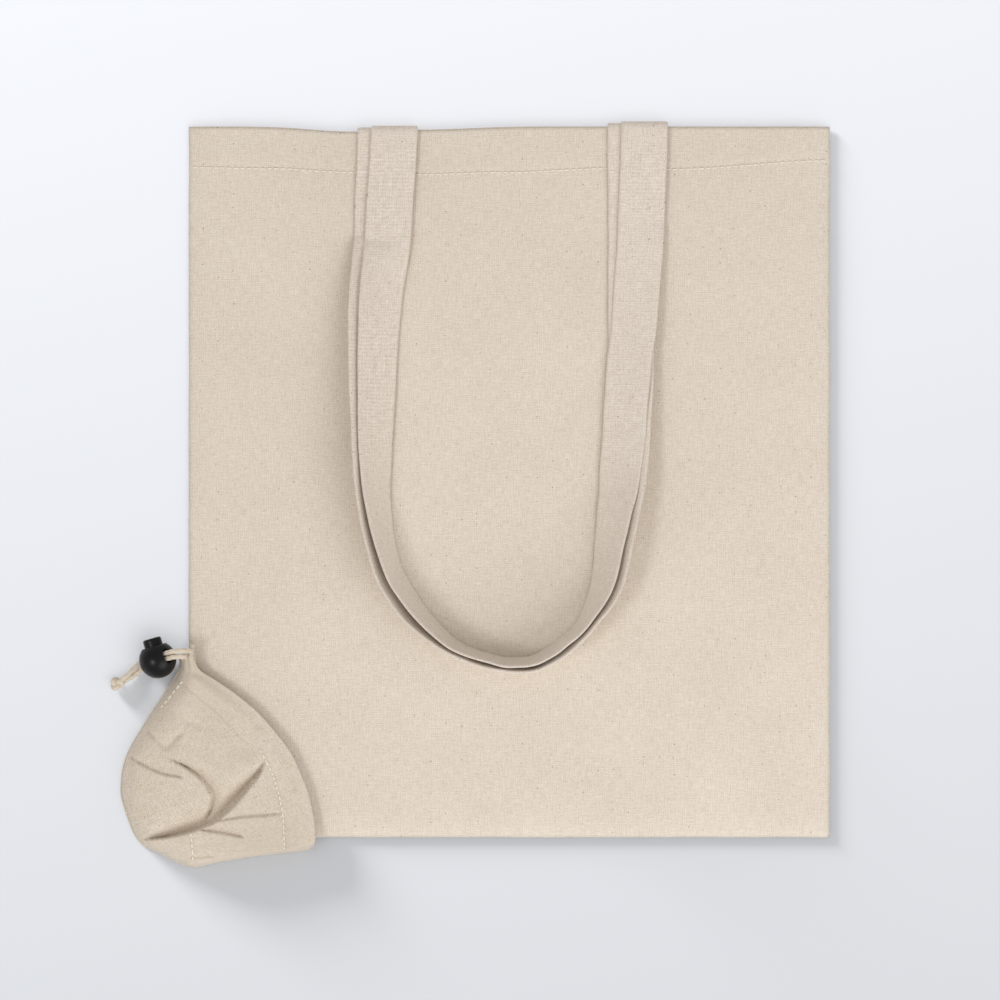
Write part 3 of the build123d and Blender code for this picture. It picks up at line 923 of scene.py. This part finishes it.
def build_pouch_stitches():
    """The stitches that show on the pouch: along its channel, its closing seam and its neck."""
    channel = (
        (-147.5, -158), (-141, -170.6), (-137.2, -181), (-134.4, -193.1), (-133.2, -206.2), (-132.8, -217.5),
    )
    closing = ((-187.9, -207.5), (-187.3, -215), (-186.9, -224))
    neck = ((-193, -118), (-199.5, -126), (-206, -134))
    rows = []
    for line, count in ((channel, 19), (closing, 5), (neck, 6)):
        rows.append(row_on(lambda share, line=line: curve_at(line, share), count, 0.72, pouch_surface))
    piece = stitch_rows("pouch_stitches", rows, 1.1)
    return dress(piece, "bag", "thread")


def build_anchor():
    """The tape inside the pouch that holds it to the bag's corner."""
    low, high = node_box("pouch_anchor_tape")

    def place(u, v):
        angle = u * 2 * math.pi
        x = (low.x + high.x) / 2 + (high.x - low.x) / 2 * math.cos(angle)
        y = mix(high.y + 2, low.y, v)
        return x, y, mix(3.0, 1.4, v) + 0.35 * math.sin(angle)

    piece = grid_piece("pouch_anchor_tape_cloth", 16, 20, place, (20, 15), closed=True)
    return dress(piece, "bag", "bag_cotton", "pouch_anchor_tape")


# ---- drawstring: routes as in the frame's model, in metres ----
CORD_DIAMETER = 0.003
CORD_STRANDS = 3
CORD_TWIST = 1.35  # radians that the strands turn in a millimetre
CORD_GROOVE = 0.09  # depth between the strands, as a share of the cord's radius
HOLE_AXIS = Vector(JOINTS["cord_lock_slide"]["axis"])
BUTTON_AXIS = -Vector(JOINTS["lock_button_press"]["axis"])
BALL_CENTRE = Vector((-0.2078, -0.1054, 0.0124))
HOLE_CENTRE = BALL_CENTRE + BUTTON_AXIS * 0.0008
CORD_STEP = BUTTON_AXIS * 0.0016
NECK_RUN = Vector((-0.0001, 0.0040, 0.00235))
UPPER_NECK, LOWER_NECK = Vector((-0.1878, -0.1036, 0.01425)), Vector((-0.1929, -0.10495, 0.0105))
TAIL_HEADING, TAIL_SIDE = Vector((-0.8660254, -0.5, 0)), Vector((-0.5, 0.8660254, 0))
UPPER_END = Vector((-0.2295, -0.1182, 0.0053)) + TAIL_SIDE * 0.0008
LOWER_END = Vector((-0.2295, -0.1182, 0.0026)) - TAIL_SIDE * 0.0008


def through_lock(step):
    """A cord's straight run through the lock, with points that keep it straight near its corners."""
    middle = HOLE_CENTRE + step
    return [middle + HOLE_AXIS * along for along in (0.0168, 0.0110, -0.0068, -0.0136)]


UPPER_ROUTE = (
    UPPER_NECK, UPPER_NECK + NECK_RUN * 0.65, (-0.1886, -0.0997, 0.0206), (-0.1923, -0.0998, 0.0254),
    *through_lock(CORD_STEP),
    (-0.2223, -0.1108, 0.0032), UPPER_END - TAIL_HEADING * 0.0032, UPPER_END,
)
LOWER_ROUTE = (
    LOWER_NECK, (-0.1926, -0.1034, 0.0145), (-0.1909, -0.1030, 0.0202), (-0.1926, -0.1033, 0.0250),
    *through_lock(-CORD_STEP),
    (-0.2204, -0.1139, 0.0017), LOWER_END - TAIL_HEADING * 0.0032, LOWER_END,
)
CHANNEL_ROUTE = (
    UPPER_NECK, (-0.1877, -0.1076, 0.0119), (-0.1805, -0.1220, 0.0124), (-0.1570, -0.1415, 0.0126),
    (-0.1380, -0.1645, 0.0126), (-0.1280, -0.1880, 0.0126), (-0.1250, -0.2060, 0.0123),
    (-0.1248, -0.2144, 0.0096), (-0.1250, -0.2144, 0.0034), (-0.1256, -0.2070, 0.0024),
    (-0.1290, -0.1880, 0.0024), (-0.1390, -0.1640, 0.0024), (-0.1575, -0.1410, 0.0024),
    (-0.1785, -0.1260, 0.0024), (-0.1870, -0.1175, 0.0025), (-0.1929, -0.1115, 0.0034),
    (-0.1932, -0.1065, 0.0065), LOWER_NECK,
)


def route_line(points):
    """Points, in millimetres, along the smooth curve that a cord's route makes."""
    curve = bpy.data.curves.new("route", "CURVE")
    curve.dimensions = "3D"
    curve.resolution_u = 12
    spline = curve.splines.new("NURBS")
    spline.points.add(len(points) - 1)
    for point, place in zip(spline.points, points):
        point.co = (*place, 1.0)
    spline.order_u = 3
    spline.use_endpoint_u = True
    holder = bpy.data.objects.new("route", curve)
    bpy.context.collection.objects.link(holder)
    mesh = bpy.data.meshes.new_from_object(holder)
    line = [vert.co / MM for vert in mesh.vertices]
    bpy.data.meshes.remove(mesh)
    bpy.data.objects.remove(holder)
    bpy.data.curves.remove(curve)
    return line


def line_length(line):
    """The length of a line of points."""
    return sum((b - a).length for a, b in zip(line, line[1:]))


def twisted_cord(name, points, *nodes):
    """A soft three-strand cotton cord along its route."""
    line = route_line(points)
    length = line_length(line)
    radius = CORD_DIAMETER / MM / 2
    piece = tube_piece(name, line, radius * 0.95, 21, (10, length), CORD_GROOVE)
    dress(piece, "bag", "cotton_cord", *nodes)
    return piece, line, length


def build_drawstring():
    """The two free strands, the run in the channel and the knot."""
    made = []
    for name, points, node in (
        ("drawstring_upper_cord", UPPER_ROUTE, "drawstring_upper_strand"),
        ("drawstring_lower_cord", LOWER_ROUTE, "drawstring_lower_strand"),
    ):
        piece, line, length = twisted_cord(name, points, node)
        made.append((piece, line, length, points[0]))
    twisted_cord("drawstring_channel_cord", CHANNEL_ROUTE, "drawstring_channel_loop")
    knot = build_knot()
    return made


def build_knot():
    """The overhand knot in the two cords."""
    low, high = node_box("cord_end_knot")
    centre = (low + high) / 2
    side = Vector((-TAIL_HEADING.y, TAIL_HEADING.x, 0))
    line = []
    for index in range(97):
        t = index / 96 * 2 * math.pi
        a = math.sin(t) + 2 * math.sin(2 * t)
        b = math.cos(t) - 2 * math.cos(2 * t)
        c = -math.sin(3 * t)
        line.append(centre + TAIL_HEADING * (a * 1.02) + side * (b * 0.92) + Vector((0, 0, c * 1.25)))
    knot = tube_piece("cord_knot_turns", line, 1.5, 14, (10, 60), 0.08)
    dress(knot, "bag", "cotton_cord", "cord_end_knot")
    return knot


# ---- settings ----
class ToteSizes(bpy.types.PropertyGroup):
    """Sizes that change the bag's looks."""

    thread_spacing: FloatProperty(
        name="Thread spacing", description="Distance between drawn yarns", default=1.1, min=0.3, max=2.0
    )
    relief: FloatProperty(
        name="Weave relief", description="Strength of the weave's relief", default=1.0, min=0, max=3
    )


def colour_text(name, description, default):
    """A colour setting, kept as its hex text."""
    return StringProperty(name=name, description=description, default=default)


class ToteColours(bpy.types.PropertyGroup):
    """Colours of the cloth, thread and plastic, as sRGB hex."""

    bag_pale: colour_text("Bag, pale yarns", "Lightest yarn of the bag", "#EEE4D9")
    bag_deep: colour_text("Bag, deep yarns", "Darkest yarn of the bag", "#CDBFAC")
    strap_pale: colour_text("Straps, pale yarns", "Lightest yarn of the straps", "#F1E7DD")
    strap_deep: colour_text("Straps, deep yarns", "Darkest yarn of the straps", "#CBBEAE")
    pouch_pale: colour_text("Pouch, pale yarns", "Lightest yarn of the pouch", "#E9DED1")
    pouch_deep: colour_text("Pouch, deep yarns", "Darkest yarn of the pouch", "#BDAD97")
    thread: colour_text("Thread", "Sewing thread", "#FFF6E6")
    plastic: colour_text("Cord lock", "Plastic of the cord lock", "#060607")


def cloth_materials():
    """The object's materials, made once."""
    scene = bpy.context.scene
    sizes, colours = scene.tote_sizes, scene.tote_colours
    weave = (sizes.thread_spacing, sizes.relief)
    made = {
        "bag_cotton": lambda: woven_cotton(
            "unbleached_plain_weave_cotton", colours.bag_pale, colours.bag_deep, *weave),
        "strap_cotton": lambda: woven_cotton(
            "folded_cotton_strap", colours.strap_pale, colours.strap_deep, *weave),
        "pouch_cotton": lambda: woven_cotton(
            "creased_pouch_cotton", colours.pouch_pale, colours.pouch_deep, *weave),
        "thread": lambda: spun_thread("spun_polyester_thread", colours.thread, "#E4DACA", 0.5),
        "cotton_cord": lambda: spun_thread("soft_cotton_cord", "#EFE4D4", "#BBAA92", 1.1),
        "black_plastic": lambda: moulded_acetal("moulded_black_acetal", colours.plastic),
        "spring_steel": lambda: drawn_steel("drawn_spring_steel"),
    }
    found = {}
    for slot, make in made.items():
        found[slot] = bpy.data.materials.get(scene.get("tote_" + slot, "")) or make()
        scene["tote_" + slot] = found[slot].name
    return found


# ---- operators ----
class TOTE_OT_stage(bpy.types.Operator):
    """Lays the pale floor and sets the soft light and the camera straight above"""

    bl_idname = "tote.stage"
    bl_label = "Stage"

    def execute(self, context):
        floor_mesh = bmesh.new()
        bmesh.ops.create_grid(floor_mesh, x_segments=2, y_segments=2, size=4.0)
        floor = mesh_object("studio_floor", floor_mesh)
        floor.data.transform(Matrix.Translation((0, 0, -0.0002)))
        floor.data.materials.append(studio_floor("studio_paper", "#EEF2F9", "#DDE1E7"))
        world = bpy.data.worlds.new("studio")
        context.scene.world = world
        world.use_nodes = True
        world.node_tree.nodes["Background"].inputs["Color"].default_value = (1.0, 0.975, 0.945, 1.0)
        world.node_tree.nodes["Background"].inputs["Strength"].default_value = 0.60
        only_floor = bpy.data.collections.new("only_floor")
        only_floor.objects.link(floor)
        all_but_floor = bpy.data.collections.new("all_but_floor")
        all_but_floor.objects.link(floor)
        all_but_floor.collection_objects[0].light_linking.link_state = "EXCLUDE"
        for name, place, size, power, tint, lit in (
            ("main_light", (-2.7, -1.5, 4.6), 1.5, 67.0, (0.98, 0.99, 1.0), all_but_floor),
            ("fill_light", (0.95, -1.1, 1.3), 1.6, 14.6, (0.98, 0.99, 1.0), all_but_floor),
            ("floor_light", (-4.0, 4.0, 1.5), 1.9, 400.0, (1.0, 1.0, 1.0), only_floor),
            ("floor_fill", (1.4, -2.0, 3.8), 4.5, 42.0, (1.0, 1.0, 1.0), only_floor),
        ):
            lamp = bpy.data.lights.new(name, "AREA")
            lamp.shape = "DISK"
            lamp.size = size
            lamp.energy = power
            lamp.color = tint
            holder = bpy.data.objects.new(name, lamp)
            holder.location = place
            holder.rotation_euler = (-Vector(place)).to_track_quat("-Z", "Y").to_euler()
            holder.light_linking.receiver_collection = lit
            context.collection.objects.link(holder)
        camera = bpy.data.cameras.new("camera")
        camera.lens = 200
        camera.sensor_width = 36
        camera.clip_end = 50
        view = bpy.data.objects.new("camera", camera)
        frame_width = 0.5933
        view.location = (-0.0055, -0.011, frame_width * camera.lens / camera.sensor_width)
        context.collection.objects.link(view)
        context.scene.camera = view
        context.scene.view_settings.view_transform = "Standard"
        return {"FINISHED"}


class TOTE_OT_panels(bpy.types.Operator):
    """Makes the front and back panels with their folded hems, and the seams between them"""

    bl_idname = "tote.panels"
    bl_label = "Panels and seams"

    def execute(self, context):
        build_back_panel()
        build_front_panel()
        build_seams()
        build_hem_stitches()
        return {"FINISHED"}


class TOTE_OT_handles(bpy.types.Operator):
    """Makes the two long handles, from tab to tab"""

    bl_idname = "tote.handles"
    bl_label = "Handles"

    def execute(self, context):
        build_handle("front_handle", *strap_place(
            UNDER_STATIONS, base=6.1, crossing=0.0, inside_level=3.2, fold_middle=MOUTH - 1.3, seed=31.0))
        build_handle("back_handle", *strap_place(
            UPPER_STATIONS, base=6.3, crossing=1.7, inside_level=1.8, fold_middle=MOUTH - 1.9, seed=41.0))
        return {"FINISHED"}


class TOTE_OT_pouch(bpy.types.Operator):
    """Makes the pouch: front with its creases, back, rolled seam, stitches and inner tape"""

    bl_idname = "tote.pouch"
    bl_label = "Pouch"

    def execute(self, context):
        build_pouch_front()
        build_pouch_back()
        build_pouch_seam()
        build_pouch_stitches()
        build_anchor()
        return {"FINISHED"}


class TOTE_OT_drawstring(bpy.types.Operator):
    """Makes the drawstring's free strands, its run in the channel and its knot"""

    bl_idname = "tote.drawstring"
    bl_label = "Drawstring"

    def execute(self, context):
        build_drawstring()
        return {"FINISHED"}


class TOTE_OT_cord_lock(bpy.types.Operator):
    """Gives the cord lock's body, button and spring their finishes"""

    bl_idname = "tote.cord_lock"
    bl_label = "Cord lock"

    def execute(self, context):
        materials = cloth_materials()
        for node, slot in (
            ("cord_lock_body", "black_plastic"), ("cord_lock_button", "black_plastic"),
            ("cord_lock_spring", "spring_steel"),
        ):
            part = frame["nodes"][node]
            for place in part.material_slots:
                place.material = materials[slot]
        return {"FINISHED"}


class TOTE_PT_panel(bpy.types.Panel):
    """Lists the bag's settings and steps"""

    bl_idname = "TOTE_PT_panel"
    bl_label = "Tote Bag"
    bl_space_type = "VIEW_3D"
    bl_region_type = "UI"
    bl_category = "Tote Bag"

    def draw(self, context):
        scene = context.scene
        for group in (scene.tote_sizes, scene.tote_colours):
            for name in group.bl_rna.properties.keys():
                if name not in ("rna_type", "name"):
                    self.layout.prop(group, name)
        for step in STEPS:
            self.layout.operator(step.bl_idname)


STEPS = (TOTE_OT_stage, TOTE_OT_drawstring, TOTE_OT_panels, TOTE_OT_handles, TOTE_OT_pouch, TOTE_OT_cord_lock)
CLASSES = (ToteSizes, ToteColours, *STEPS, TOTE_PT_panel)


def register():
    """Adds the settings, steps and panel."""
    for kind in CLASSES:
        bpy.utils.register_class(kind)
    bpy.types.Scene.tote_sizes = PointerProperty(type=ToteSizes)
    bpy.types.Scene.tote_colours = PointerProperty(type=ToteColours)


def unregister():
    """Takes them out again."""
    del bpy.types.Scene.tote_colours
    del bpy.types.Scene.tote_sizes
    for kind in reversed(CLASSES):
        bpy.utils.unregister_class(kind)


def main():
    """Builds the whole bag."""
    register()
    bpy.ops.tote.stage()
    bpy.ops.tote.drawstring()
    bpy.ops.tote.panels()
    bpy.ops.tote.handles()
    bpy.ops.tote.pouch()
    bpy.ops.tote.cord_lock()


if __name__ == "__main__":
    main()
